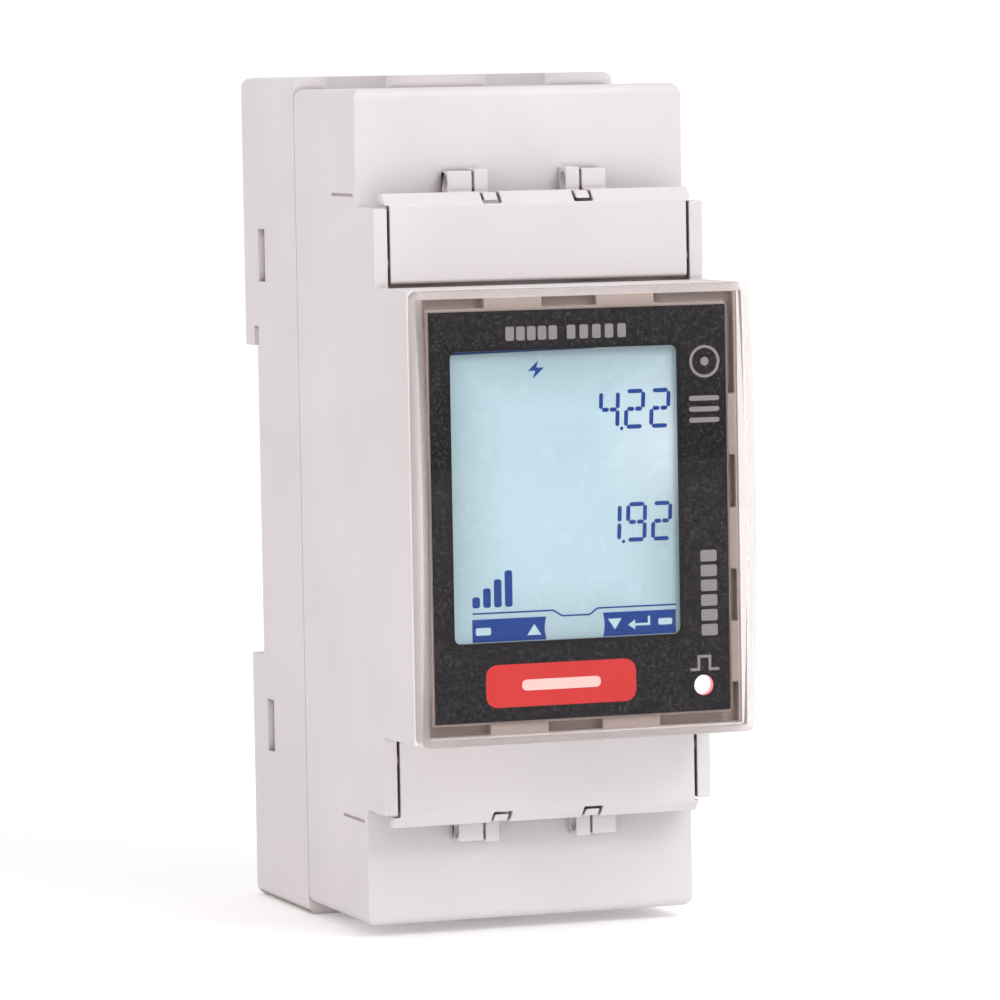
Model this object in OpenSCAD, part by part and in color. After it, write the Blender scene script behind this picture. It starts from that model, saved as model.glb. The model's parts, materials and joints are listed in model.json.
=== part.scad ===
// Two-module electricity meter for a 35 mm rail.
// The origin is the middle of the seat that rests on the rail's face.
// The front faces -Y, +X is to the right seen from the front, and +Z is up.

/* [Overall] */
// Width of the meter
body_w = 35.5; // [35.4:0.1:36]
// Height of the rear base
base_h = 88.2; // [88:0.2:89]
// Height over the two terminal blocks
block_h = 85.6; // [85.2:0.2:86]
// Height of the middle front zone and of its window
front_h = 45.4; // [45.2:0.1:45.6]
// Wall thickness of the mouldings
wall = 1.6; // [1.5:0.1:1.6]

/* [Depths from the rail seat] */
// Rear face, behind the seat
rear_d = 4.2; // [4:0.1:4.6]
// Parting plane between rear base and front housing
parting_d = 14.4; // [14.2:0.1:14.6]
// Plain face of the terminal blocks
block_d = 34.8; // [34.7:0.1:35]
// Face of the terminal covers
cover_d = 40.5; // [40.3:0.1:41]
// Front of the middle shell
shell_d = 50.6; // [50.4:0.1:51]
// Front window at its upper and lower edges
window_d = 53; // [52.8:0.1:53.4]
// Bulge of the front window at mid-height
window_bulge = 1.4; // [1:0.1:1.8]

/* [Terminal covers] */
// Distance from the middle to a cover's outer edge
cover_end = 31; // [30.9:0.1:31.2]
// Height of the bent lip beyond that edge
lip_h = 1.2; // [1.2:0.1:1.6]
// Thickness of the cover's plate
cover_t = 1.2; // [1:0.1:1.3]
// Radius of the hole for a seal wire
seal_r = 0.8; // [0.6:0.1:0.9]

/* [Terminals] */
// Radius of the cable bores
cable_r = 4.2; // [3.9:0.1:4.2]
// Radius of the terminal screws
screw_r = 2.5; // [2.4:0.1:2.5]
// Travel of a rising cage
cage_travel = 6.8; // [5:0.2:6.8]

/* [Display] */
// Width of the display opening
display_w = 24.25; // [23.5:0.25:24.5]
// Height of the display opening
display_h = 29.15; // [28.5:0.25:29.25]

/* [Hidden] */

$fn = 48;
eps = 0.01;
cut = 1;                 // how far a cutting solid runs past the face it opens
upper = 1;
lower = -1;
housing_tone = [0.87, 0.85, 0.84];
steel_tone = [0.72, 0.73, 0.75];
copper_tone = [0.80, 0.50, 0.32];
board_tone = [0.10, 0.38, 0.20];
dark_tone = [0.12, 0.12, 0.13];

half_w = body_w / 2;
inner_w = half_w - wall;
base_end = base_h / 2;
block_end = block_h / 2;
front_end = front_h / 2;

// Rail channel in the rear base, for a rail 35 mm high with a 1 mm flange
rail_half = 17.5;
flange_t = 1;
channel_top = 15.5;      // underside of the fixed hook
channel_bottom = -17.8;
hook_slot_top = rail_half + 0.1;
hook_slot_back = flange_t + 0.25;
hook_slot_front = -0.5;
spring_slot_w = 4.4;
spring_seat_w = 4;
spring_seat_back = 3.6;

// Sliding latch in the lower half of the rear face
latch_w = 14;
latch_gap = 0.3;
latch_front = 1.2;
latch_back = rear_d - 0.3;
latch_top = -15.6;
latch_bottom = -43.4;
ear_w = 1.1;
ear_top = -22;
ear_bottom = -36;
latch_travel = 3;
latch_window_w = 5;
latch_window_top = -20;
latch_window_bottom = -34.2;
spring_seat_top = -31.5;
spring_seat_bottom = -34;
spring_y = 1.9;
spring_r = 1.35;
spring_wire_r = 0.25;
spring_turns = 9;

// Side windows where the housing's snap arms catch
snap_inner = 22.4;
snap_outer = 28;
snap_front = -3.2;
snap_back = -0.9;

// Terminal covers and their pivots
cover_half_w = half_w - 1.75;
cheek_inner = cover_half_w + 0.3;
cheek_end = cover_end - 0.25;
cover_inner_edge = front_end + 0.3;
pivot_y = -(cover_d - 1);
pivot_z = cover_inner_edge + 2.2;
pivot_r = 0.6;
pivot_hole_r = 0.65;
cover_edge_r = 0.5;

// Seal-wire lugs: a wide one on the cover beside a narrow one on the housing
lug_x = 5.95;            // inner face of the wide lug
wide_lug_w = 2.65;
narrow_lug_w = 1.5;
lug_gap = 0.25;
lug_top = 34.3;
lug_depth = 2.2;
narrow_lug_x0 = lug_x - lug_gap - narrow_lug_w;
narrow_lug_x1 = lug_x - lug_gap;
lug_hole_y = -(block_d + 1.15);
lug_hole_z = 33.2;
lip_half_w = 16.5;
lip_notch_margin = 0.3;

// Main terminals: a screw from the front, a cage that rises along it, a cable from the end
line_x = -10.75;
neutral_x = 6.95;
screw_z = 27.1;
cable_y = -(parting_d + 2.66);
duct_r = cable_r + 0.95;
duct_start = 33;
cage_half_w = 5.1;
cage_side_t = 0.9;
cage_z0 = 23.2;
cage_z1 = 31;
cage_front = -(block_d - wall) + 0.4 + cage_travel;
cage_back = -11.1;
cage_front_t = 2;
cage_back_t = 1.4;
access_r = 4;
head_r = 3.5;
head_t = 2.4;
head_front = -(block_d + 0.6);
bar_front = -23.4;
bar_t = 2;
bar_w = 6.6;
bar_end = 31.4;
shunt_half = 7;
thread_pitch = 0.8;
thread_depth = 0.3;

// Small signal terminals in the lower block
signal_mid = (line_x + neutral_x) / 2;
signal_pitch = 3.5;
signal_xs = [signal_mid - signal_pitch / 2, signal_mid + signal_pitch / 2];
signal_block_w = 7.1;
signal_block_end = 41;
signal_wire_r = 1.2;
signal_wire_y = -25.2;
signal_access_r = 1.6;
signal_head_r = 1.3;
signal_screw_r = 0.9;
signal_chamber_half = 1.5;
signal_clamp_half = 1.3;
signal_clamp_z0 = 25.3;
signal_clamp_z1 = 28.9;

// Display: the opening is left of the middle and above it
display_mid_x = -1.475;
display_mid_z = 1.975;
lamp_x = 12.93;
lamp_z = -17.9;
lamp_r = 1;
panel_half_w = half_w - 2.05;
panel_half_h = front_end - 2.2;
panel_t = 0.5;
window_wall = 0.8;
pane_t = 1.2;
display_corner_r = 0.7;
glass_w = display_w + 0.8;
glass_h = display_h + 0.8;
foil_front = -(shell_d - 0.05);
foil_t = 0.3;
lcd_front = foil_front + foil_t + 0.05;
lcd_t = 2;
plate_front = lcd_front + lcd_t + 0.1;
display_board_front = -45.4;
display_board_back = display_board_front + 1.6;
display_board_half_w = 15.6;
display_board_half_h = 20.5;
post_x = 14.6;
post_z = 19.5;
post_r = 1;
post_pin_r = 0.5;
strip_h = 1.5;
backlight_lamp_gap = 1.3;

// Main board stands upright between the two bars
board_x0 = -2.9;
board_x1 = -1.3;
board_y0 = -43;
board_y1 = -5;
board_half_h = 20.5;
board_fit = 0.05;
board_guide_z = 12;
header_pins = 8;
header_pitch = 2.54;
header_x = 0;
header_half_w = 1.25;
header_pin_r = 0.32;

// ---------------------------------------------------------------- helpers

// Box between two opposite corners
module span(low, high) {
    translate(low) cube(high - low);
}

// Drawing in (y, z), extruded along X about the middle
module along_x(length) {
    rotate([90, 0, 90]) linear_extrude(length, center = true) children();
}

// Drawing in (x, z), extruded along Y from y0 to y1
module along_y(y0, y1) {
    translate([0, y1, 0]) rotate([90, 0, 0]) linear_extrude(y1 - y0) children();
}

// Round bar along Y between y0 and y1
module bar_y(r, x, z, y0, y1) {
    translate([x, y0, z]) rotate([-90, 0, 0]) cylinder(r = r, h = y1 - y0);
}

// Round bar along X between x0 and x1
module bar_x(r, y, z, x0, x1) {
    translate([x0, y, z]) rotate([0, 90, 0]) cylinder(r = r, h = x1 - x0);
}

// Round bar along Z between z0 and z1
module bar_z(r, x, y, z0, z1) {
    translate([x, y, z0]) cylinder(r = r, h = z1 - z0);
}

// Rectangle with true round corners
module rounded_square(low, high, r) {
    translate([low[0] + r, low[1]]) square([high[0] - low[0] - 2 * r, high[1] - low[1]]);
    translate([low[0], low[1] + r]) square([high[0] - low[0], high[1] - low[1] - 2 * r]);
    for (x = [low[0] + r, high[0] - r], y = [low[1] + r, high[1] - r])
        translate([x, y]) circle(r);
}

// Keeps the upper side as drawn and mirrors it for the lower side
module on_side(side) {
    mirror([0, 0, side == lower ? 1 : 0]) children();
}

module both_sides() {
    for (side = [upper, lower]) on_side(side) children();
}

module left_and_right() {
    for (flip = [0, 1]) mirror([flip, 0, 0]) children();
}

// ------------------------------------------------------------- rear base

base_corner_r = 1;
groove_half = latch_w / 2 + latch_gap;
groove_floor = latch_front - latch_gap;
undercut_half = groove_half + ear_w;
undercut_back = 2.6;
groove_wall = 1.2;
groove_back = -1.7;

module base_outline() {
    difference() {
        translate([-parting_d, 0]) {
            translate([0, -base_end])
                square([parting_d + rear_d - base_corner_r, base_h]);
            translate([0, -base_end + base_corner_r])
                square([parting_d + rear_d, base_h - 2 * base_corner_r]);
            for (z = [-1, 1])
                translate([parting_d + rear_d - base_corner_r, z * (base_end - base_corner_r)])
                    circle(base_corner_r);
        }
        translate([0, channel_bottom]) square([rear_d + cut, channel_top - channel_bottom]);
        translate([hook_slot_front, channel_top - eps])
            square([hook_slot_back - hook_slot_front, hook_slot_top - channel_top + eps]);
    }
}

module base_cavity() {
    floor_y = rear_d - wall;
    channel_floor = hook_slot_front - wall;
    span([-inner_w, -parting_d - cut, hook_slot_top + wall], [inner_w, floor_y, base_end - wall]);
    span([-inner_w, -parting_d - cut, -base_end + wall], [inner_w, floor_y, channel_bottom - wall]);
    span([-inner_w, -parting_d - cut, -base_end + wall], [inner_w, channel_floor, base_end - wall]);
}

// Groove the latch slides in, its undercut, a slot for the spring and a relief under the latch's nose
module latch_groove() {
    span([-groove_half, groove_floor, -base_end - cut], [groove_half, rear_d + cut, channel_bottom + cut]);
    span([-groove_half, hook_slot_front, channel_bottom - cut], [groove_half, cut, latch_top + latch_gap]);
    span([-undercut_half, groove_floor, ear_bottom - latch_travel - latch_gap],
         [undercut_half, undercut_back, ear_top + latch_gap]);
    span([-spring_slot_w / 2, spring_y - spring_r - 0.65, spring_seat_top],
         [spring_slot_w / 2, cut, latch_window_top]);
}

// Two forked blocks that hold the main board's rear edge
module board_guides() {
    guide_half = 2.2;
    grip = 1.8;
    slot_half = (board_x1 - board_x0) / 2 + board_fit;
    mid = (board_x0 + board_x1) / 2;
    for (z = [-board_guide_z, board_guide_z])
        difference() {
            span([mid - guide_half, board_y1 - grip, z - 1],
                 [mid + guide_half, hook_slot_front - wall + eps, z + 1]);
            span([mid - slot_half, board_y1 - grip - cut, z - 2],
                 [mid + slot_half, board_y1 + board_fit, z + 2]);
        }
}

module rear_base() {
    color(housing_tone) {
        difference() {
            union() {
                difference() {
                    intersection() {
                        along_x(body_w) base_outline();
                        along_y(-parting_d, rear_d)
                            rounded_square([-half_w, -base_end], [half_w, base_end], base_corner_r);
                    }
                    base_cavity();
                }
                span([-undercut_half - groove_wall, groove_back, -base_end],
                     [undercut_half + groove_wall, rear_d, channel_bottom]);
            }
            latch_groove();
            for (x = [line_x, neutral_x])
                bar_z(cable_r, x, cable_y, -base_end - cut, base_end + cut);
            both_sides()
                span([-half_w - cut, snap_front, snap_inner], [half_w + cut, snap_back, snap_outer]);
        }
        span([-spring_seat_w / 2, groove_floor - eps, spring_seat_bottom],
             [spring_seat_w / 2, spring_seat_back, spring_seat_top]);
        board_guides();
    }
}

// ---------------------------------------------------------- front housing

housing_corner_r = 1;
deck_back = -(block_d - wall);
shell_inner = front_end - wall;
rim_channel_depth = 1.1;
rim_channel_in = 0.3;    // from the label panel's edge to the channel
land_w = 6.2;
land_xs = [-6.7, 5.25];
land_zs = [-14.7, -3.2, 8.35];
tongue_lap = 2.4;
tongue_t = 1.2;
tongue_gap = 0.15;
arm_t = 1.1;
arm_gap = 0.15;
arm_end = 35;
pivot_hole_depth = 0.95;
seam_h = 0.25;
seam_depth = 0.25;

module housing_solid() {
    intersection() {
        along_x(body_w)
            rounded_square([-block_d, -block_end], [-parting_d + 2 * housing_corner_r, block_end],
                           housing_corner_r);
        along_y(-block_d, -parting_d)
            rounded_square([-half_w, -block_end], [half_w, block_end], housing_corner_r);
    }
    span([-half_w, -shell_d, -front_end], [half_w, -block_d + eps, front_end]);
    both_sides() left_and_right()
        span([cheek_inner, -cover_d, front_end - eps], [half_w, -block_d + eps, cheek_end]);
}

module housing_cavity() {
    span([-inner_w, deck_back, -block_end + wall], [inner_w, -parting_d + cut, block_end - wall]);
    span([-inner_w, -shell_d + wall, -shell_inner], [inner_w, deck_back + eps, shell_inner]);
}

// Channel in the shell's front around the label panel, broken by flat lands. It shows
// through the window's clear rim as darker and lighter patches.
module rim_channel() {
    front = -shell_d - cut;
    floor_y = -shell_d + rim_channel_depth;
    in_x = panel_half_w + rim_channel_in;
    in_z = panel_half_h + rim_channel_in;
    out_x = half_w - window_wall - 0.1;
    out_z = front_end - window_wall - 0.1;
    difference() {
        span([-out_x, front, -out_z], [out_x, floor_y, out_z]);
        span([-in_x, front - cut, -in_z], [in_x, floor_y + cut, in_z]);
        for (x = land_xs)
            span([x - land_w / 2, front - cut, -front_end], [x + land_w / 2, floor_y + cut, front_end]);
        for (z = land_zs)
            span([-half_w, front - cut, z - land_w / 2], [half_w, floor_y + cut, z + land_w / 2]);
    }
}

// Wall that carries on from the shell into the housing, in front of the bars
module chamber_walls() {
    wall_depth = 4.8;
    span([-inner_w - eps, deck_back - eps, shell_inner], [inner_w + eps, deck_back + wall_depth, front_end]);
}

module cable_ducts() {
    for (x = [line_x, neutral_x])
        bar_z(duct_r, x, cable_y, duct_start, block_end - wall + eps);
}

// Arm that runs back into the rear base and ends in a barb behind its side window
module snap_arm() {
    arm_out = inner_w - arm_gap;
    arm_in = arm_out - arm_t;
    arm_start = cage_z1 + 0.6;
    barb_reach = 0.8;
    barb_gap = 0.2;
    span([arm_in, -parting_d - 2, arm_start], [inner_w + eps, -parting_d, arm_end]);
    span([arm_in, -parting_d - eps, arm_start], [arm_out, snap_back, arm_end]);
    span([arm_in, cage_back + 0.4, snap_inner + 2 * barb_gap], [arm_out, snap_back, arm_end]);
    span([arm_in, snap_front + barb_gap, snap_inner + 2 * barb_gap],
         [inner_w + barb_reach, snap_back - barb_gap, snap_outer - 2 * barb_gap]);
}

// Tongues that lap inside the rear base along the parting plane
module lap_tongues() {
    root = 1.6;
    both_sides()
        span([-inner_w + 1, -parting_d - eps, block_end - wall],
             [inner_w - 1, -parting_d + tongue_lap, base_end - wall - tongue_gap]);
    left_and_right() {
        span([inner_w - tongue_t, -parting_d - root, -shell_inner], [inner_w + eps, -parting_d, shell_inner]);
        span([inner_w - tongue_t, -parting_d - eps, -shell_inner],
             [inner_w - tongue_gap, -parting_d + tongue_lap, shell_inner]);
    }
}

module display_posts() {
    for (x = [-post_x, post_x], z = [-post_z, post_z]) {
        bar_y(post_r, x, z, -shell_d + wall - eps, display_board_front);
        bar_y(post_pin_r, x, z, display_board_front - eps, display_board_back + 0.6);
    }
}

// Narrow lugs on the housing. Each one's foot fills the notch in the cover's lip and slopes with it.
module narrow_lugs() {
    lug_front = -block_d - lug_depth;
    foot_bottom = cover_end + 0.3;
    foot_top = cover_end + lip_h - 0.1;
    slope_start = -cover_d - cover_end + 0.1;
    left_and_right() {
        span([narrow_lug_x0, lug_front, foot_bottom], [narrow_lug_x1, -block_d + eps, lug_top + 0.15]);
        translate([(narrow_lug_x0 + narrow_lug_x1) / 2, 0, 0]) along_x(narrow_lug_w) polygon([
            [slope_start + foot_bottom, foot_bottom],
            [slope_start + foot_top, foot_top],
            [lug_front + eps, foot_top],
            [lug_front + eps, foot_bottom],
        ]);
    }
}

// Low ridges on the shell, along the two long edges of the label panel
module panel_ridges() {
    left_and_right()
        span([panel_half_w + 0.1, -shell_d - panel_t - 0.1, -panel_half_h],
             [panel_half_w + rim_channel_in, -shell_d + eps, panel_half_h]);
}

module housing_openings() {
    glass_clear = 0.2;
    translate([display_mid_x, 0, display_mid_z])
        span([-glass_w / 2 - glass_clear, -shell_d - cut, -glass_h / 2 - glass_clear],
             [glass_w / 2 + glass_clear, -shell_d + wall + cut, glass_h / 2 + glass_clear]);
    bar_y(lamp_r + 0.1, lamp_x, lamp_z, -shell_d - cut, -shell_d + wall + cut);
    both_sides() {
        for (x = [line_x, neutral_x]) {
            bar_y(access_r, x, screw_z, -block_d - cut, deck_back + cut);
            bar_z(cable_r, x, cable_y, duct_start - cut, block_end + cut);
        }
        left_and_right() {
            bar_x(pivot_hole_r, pivot_y, pivot_z, cheek_inner - cut, cheek_inner + pivot_hole_depth);
            bar_x(seal_r, lug_hole_y, lug_hole_z, narrow_lug_x0 - cut, narrow_lug_x1 + cut);
        }
    }
    for (x = signal_xs) {
        bar_y(signal_access_r, x, -screw_z, -block_d - cut, deck_back + cut);
        bar_z(signal_wire_r, x, signal_wire_y, -block_end - cut, -block_end + wall + cut);
    }
    rim_channel();
}

// Short shallow seam lines that run back from the cheeks on both sides
module side_seams() {
    seam_z = cover_end + 0.9;
    both_sides() left_and_right()
        span([half_w - seam_depth, -block_d + 1, seam_z], [half_w + cut, -block_d + 8, seam_z + seam_h]);
}

module front_housing() {
    color(housing_tone) difference() {
        union() {
            difference() {
                housing_solid();
                housing_cavity();
            }
            both_sides() {
                chamber_walls();
                cable_ducts();
                left_and_right() snap_arm();
                narrow_lugs();
            }
            span([signal_mid - 0.8, deck_back - eps, front_end - eps],
                 [signal_mid + 0.8, -parting_d, block_end - wall + eps]);
            lap_tongues();
            display_posts();
            panel_ridges();
        }
        housing_openings();
        side_seams();
    }
}

// -------------------------------------------------------- terminal covers

// Section of the cover's plate, rounded at its front inner edge
module cover_plate_outline() {
    y0 = -cover_d;
    r = cover_edge_r;
    translate([y0 + r, cover_inner_edge]) square([cover_t - r, cover_end - cover_inner_edge]);
    translate([y0, cover_inner_edge + r]) square([cover_t, cover_end - cover_inner_edge - r]);
    translate([y0 + r, cover_inner_edge + r]) circle(r);
}

// Lip that slopes back and out from the plate's outer edge
module lip_outline() {
    lip_back = -cover_d + lip_h + 1;
    lip_edge = 0.6;
    polygon([
        [-cover_d, cover_end],
        [-cover_d + lip_h, cover_end + lip_h],
        [lip_back, cover_end + lip_h],
        [lip_back, cover_end + lip_h - lip_edge],
        [-cover_d + cover_t, cover_end],
    ]);
}

module terminal_cover(side) {
    rib_t = 1.2;
    rib_back = -cover_d + cover_t + 1.3;
    pin_reach = 0.8;
    lug_back = -block_d - 0.3;
    lug_x1 = lug_x + wide_lug_w;
    color(housing_tone) on_side(side) difference() {
        union() {
            along_x(2 * cover_half_w) cover_plate_outline();
            difference() {
                along_x(2 * lip_half_w) lip_outline();
                left_and_right()
                    span([narrow_lug_x0 - lip_notch_margin, -cover_d - cut, cover_end],
                         [lug_x, -block_d, cover_end + lip_h + cut]);
            }
            left_and_right() {
                span([cover_half_w - rib_t, -cover_d + cover_t - eps, pivot_z - 1],
                     [cover_half_w, rib_back, cover_end - 0.5]);
                bar_x(pivot_r, pivot_y, pivot_z, cover_half_w - eps, cheek_inner + pin_reach);
                span([lug_x, -cover_d + lip_h, cover_end], [lug_x1, lug_back, cover_end + lip_h]);
                span([lug_x, -block_d - lug_depth, cover_end + lip_h - eps], [lug_x1, lug_back, lug_top]);
            }
        }
        left_and_right()
            bar_x(seal_r, lug_hole_y, lug_hole_z, lug_x - cut, lug_x1 + cut);
    }
}

// ------------------------------------------------- window, panel, display

window_edge_r = 0.5;
window_corner_r = 0.8;

// Section of the window: its bulged front drawn at the given distance inside the outer face
module window_outline(inset, side_inset, back) {
    bulge_r = (front_end * front_end + window_bulge * window_bulge) / (2 * window_bulge);
    front = -window_d - window_bulge;
    half = front_end - side_inset;
    intersection() {
        rounded_square([front + inset, -half], [back + 1, half], window_edge_r);
        translate([front + bulge_r, 0]) circle(bulge_r - inset, $fn = 200);
        translate([front - cut, -front_end]) square([back - front + cut, front_h]);
    }
}

// Clear cap over the whole front, curved about the X axis, with a thin rim that stands on the shell
module front_window() {
    back = -shell_d;
    color([0.85, 0.88, 0.88, 0.4]) {
        difference() {
            intersection() {
                along_x(body_w) window_outline(0, 0, back);
                along_y(-window_d - window_bulge - cut, back)
                    rounded_square([-half_w, -front_end], [half_w, front_end], window_corner_r);
            }
            along_x(body_w - 2 * window_wall) window_outline(pane_t, window_wall, back + cut / 2);
        }
    }
}

// Display opening in the label panel, with small round corners
module display_opening() {
    translate([display_mid_x, display_mid_z])
        rounded_square([-display_w / 2, -display_h / 2], [display_w / 2, display_h / 2], display_corner_r);
}

module label_panel() {
    color(dark_tone) difference() {
        span([-panel_half_w, -shell_d - panel_t, -panel_half_h], [panel_half_w, -shell_d, panel_half_h]);
        along_y(-shell_d - panel_t - cut, -shell_d + cut) display_opening();
        bar_y(lamp_r + 0.05, lamp_x, lamp_z, -shell_d - panel_t - cut, -shell_d + cut);
    }
}

// Flat sheet centred on the display opening
module display_sheet(w, h, front, thickness) {
    translate([display_mid_x, 0, display_mid_z])
        span([-w / 2, front, -h / 2], [w / 2, front + thickness, h / 2]);
}

module touch_foil() {
    color([0.8, 0.85, 0.9, 0.3]) display_sheet(glass_w, glass_h, foil_front, foil_t);
}

module lcd_glass() {
    color([0.70, 0.85, 0.90]) display_sheet(glass_w, glass_h, lcd_front, lcd_t);
}

module backlight_plate() {
    color([0.92, 0.95, 0.97]) translate([-backlight_lamp_gap / 2, 0, 0])
        display_sheet(glass_w - backlight_lamp_gap, glass_h - 2 * strip_h - 0.5,
                      plate_front, display_board_front - 0.1 - plate_front);
}

module display_frame() {
    border = 1.1;
    frame_front = -shell_d + wall + 0.05;
    depth = display_board_front - frame_front;
    color([0.90, 0.90, 0.88]) difference() {
        display_sheet(glass_w + 2 * border, glass_h + 2 * border, frame_front, depth);
        display_sheet(glass_w + 0.1, glass_h + 0.1, frame_front - cut, depth + 2 * cut);
    }
}

module contact_strips() {
    color([0.85, 0.35, 0.45])
        for (side = [-1, 1])
            translate([display_mid_x, 0, display_mid_z + side * (glass_h - strip_h) / 2])
                span([-glass_w / 2 + 0.5, lcd_front + lcd_t, -strip_h / 2],
                     [glass_w / 2 - 0.5, display_board_front, strip_h / 2]);
}

module display_board() {
    color(board_tone) difference() {
        span([-display_board_half_w, display_board_front, -display_board_half_h],
             [display_board_half_w, display_board_back, display_board_half_h]);
        for (x = [-post_x, post_x], z = [-post_z, post_z])
            bar_y(post_pin_r + 0.05, x, z, display_board_front - cut, display_board_back + cut);
        header_row()
            bar_y(header_pin_r + 0.08, header_x, 0, display_board_front - cut, display_board_back + cut);
    }
}

// Driver chip behind the board and two small lamps at the edge of the backlight plate
module display_driver() {
    lamp_x1 = display_mid_x + glass_w / 2 - 0.1;
    color(dark_tone) span([-12, display_board_back, -6], [-5, display_board_back + 1, 1]);
    color([0.95, 0.9, 0.6]) for (z = [-4, 8])
        span([lamp_x1 - 0.9, display_board_front - 0.8, z], [lamp_x1, display_board_front, z + 1.6]);
}

module pulse_led() {
    color([0.95, 0.9, 0.85])
        span([lamp_x - 0.8, display_board_front - 0.7, lamp_z - 0.5],
             [lamp_x + 0.8, display_board_front, lamp_z + 0.5]);
}

module light_pipe() {
    flange_back = -shell_d + wall + 0.9;
    color([0.98, 0.9, 0.92]) {
        bar_y(lamp_r, lamp_x, lamp_z, -shell_d - panel_t, display_board_front - 0.8);
        bar_y(lamp_r + 0.25, lamp_x, lamp_z, -shell_d + wall + 0.1, flange_back);
    }
}

// --------------------------------------------------------------- main board

module header_row() {
    for (i = [0 : header_pins - 1])
        translate([0, 0, (i - (header_pins - 1) / 2) * header_pitch]) children();
}

module board_header() {
    strip_back = board_y0 + 1.8;
    color(dark_tone)
        span([board_x1, display_board_back + 0.05, -header_pins * header_pitch / 2],
             [header_x + header_half_w, strip_back, header_pins * header_pitch / 2]);
    color([0.85, 0.75, 0.4])
        header_row() bar_y(header_pin_r, header_x, 0, display_board_front, display_board_back + 0.1);
}

module main_board() {
    color(board_tone) span([board_x0, board_y0, -board_half_h], [board_x1, board_y1, board_half_h]);
}

// Box on the board's left or right face
module on_board(face, y, z, size) {
    x0 = face == "left" ? board_x0 - size[0] : board_x1;
    span([x0, y - size[1] / 2, z - size[2] / 2], [x0 + size[0], y + size[1] / 2, z + size[2] / 2]);
}

module board_chips() {
    color(dark_tone) {
        on_board("left", -31, -5, [1.4, 7, 7]);
        on_board("right", -32, -6, [1.4, 9, 9]);
        on_board("right", -38, 12, [1.6, 4, 5]);
        on_board("left", -13, 12, [2.4, 6, 4.4]);
        on_board("left", -13, -12, [2.4, 6, 4.4]);
        on_board("left", -38, 6, [1.2, 3.2, 5]);
    }
}

module film_capacitor() {
    color([0.85, 0.72, 0.2]) on_board("right", -12.5, 11.5, [5.2, 10, 13]);
}

module storage_capacitor() {
    can_r = 4;
    can_y = -12;
    can_z0 = -18.5;
    can_len = 12;
    lead_r = 0.3;
    color([0.15, 0.18, 0.30]) bar_z(can_r, board_x1 + can_r + 0.2, can_y, can_z0, can_z0 + can_len);
    color(steel_tone) for (z = [can_z0 + 2.5, can_z0 + can_len - 2.5])
        bar_x(lead_r, can_y, z, board_x1, board_x1 + 0.8);
}

module surge_disc() {
    disc_r = 4.3;
    disc_y = -34.5;
    disc_z = 13.8;
    disc_gap = 0.6;
    disc_t = 3.4;
    lead_r = 0.35;
    color([0.15, 0.3, 0.6]) bar_x(disc_r, disc_y, disc_z, board_x0 - disc_gap - disc_t, board_x0 - disc_gap);
    color(steel_tone) for (z = [disc_z - 2.5, disc_z + 2.5])
        bar_x(lead_r, disc_y, z, board_x0 - disc_gap - 0.1, board_x0);
}

module mains_choke() {
    flange_r = 3.6;
    core_r = 2.6;
    core_start = board_x1 + 1.2;
    core_end = board_x1 + 7;
    choke_y = -30;
    choke_z = 14;
    color([0.25, 0.22, 0.2]) {
        bar_x(flange_r, choke_y, choke_z, board_x1, core_start);
        bar_x(core_r, choke_y, choke_z, core_start - eps, core_end);
        bar_x(flange_r, choke_y, choke_z, core_end - eps, core_end + 1);
    }
}

// --------------------------------------------------------------- current path

module bar_piece(x, z0, z1, w) {
    span([x - w / 2, bar_front, z0], [x + w / 2, bar_front + bar_t, z1]);
}

module line_bar(side) {
    color(copper_tone) on_side(side) bar_piece(line_x, shunt_half, bar_end, bar_w);
}

module current_shunt() {
    waist = 1.2;
    waist_half_len = 2;
    color([0.62, 0.55, 0.48]) difference() {
        bar_piece(line_x, -shunt_half, shunt_half, bar_w);
        for (x = [-1, 1])
            span([line_x + x * bar_w / 2 - waist / 2, bar_front - cut, -waist_half_len],
                 [line_x + x * bar_w / 2 + waist / 2, bar_front + bar_t + cut, waist_half_len]);
    }
}

module neutral_bar() {
    color(copper_tone) bar_piece(neutral_x, -bar_end, bar_end, bar_w);
}

// Short pins from the bars to the board, for current and voltage sensing
module sense_pins() {
    pin_y = bar_front + bar_t / 2;
    pin_r = 0.5;
    color(steel_tone) {
        for (z = [-4, 4, 9])
            bar_x(pin_r, pin_y, z, line_x + bar_w / 2, board_x0);
        bar_x(pin_r, pin_y, 0, board_x1, neutral_x - bar_w / 2);
    }
}

// --------------------------------------------------------------- main terminals

module terminal_cage(x, side) {
    inner_half = cage_half_w - cage_side_t;
    color(steel_tone) on_side(side) difference() {
        span([x - cage_half_w, cage_front, cage_z0], [x + cage_half_w, cage_back, cage_z1]);
        span([x - inner_half, cage_front + cage_front_t, cage_z0 - cut],
             [x + inner_half, cage_back - cage_back_t, cage_z1 + cut]);
        bar_y(screw_r + 0.08, x, screw_z, cage_front - cut, cage_front + cage_front_t + cut);
    }
}

// Half section of a screw with ring threads, head first, tip last
function screw_section(big_r, head_len, shaft_r, length, pitch, depth) =
    let (thread_len = length - head_len - 1.2, count = floor(thread_len / pitch))
    concat(
        [[0, 0], [big_r - 0.3, 0], [big_r, 0.3], [big_r, head_len], [shaft_r - depth, head_len]],
        [for (i = [0 : count - 1], step = [0.25, 0.5, 0.75, 1])
            [step == 0.5 || step == 0.75 ? shaft_r : shaft_r - depth, head_len + 0.4 + (i + step) * pitch]],
        [[shaft_r - depth, length - 0.4], [shaft_r - depth - 0.4, length], [0, length]]
    );

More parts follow.
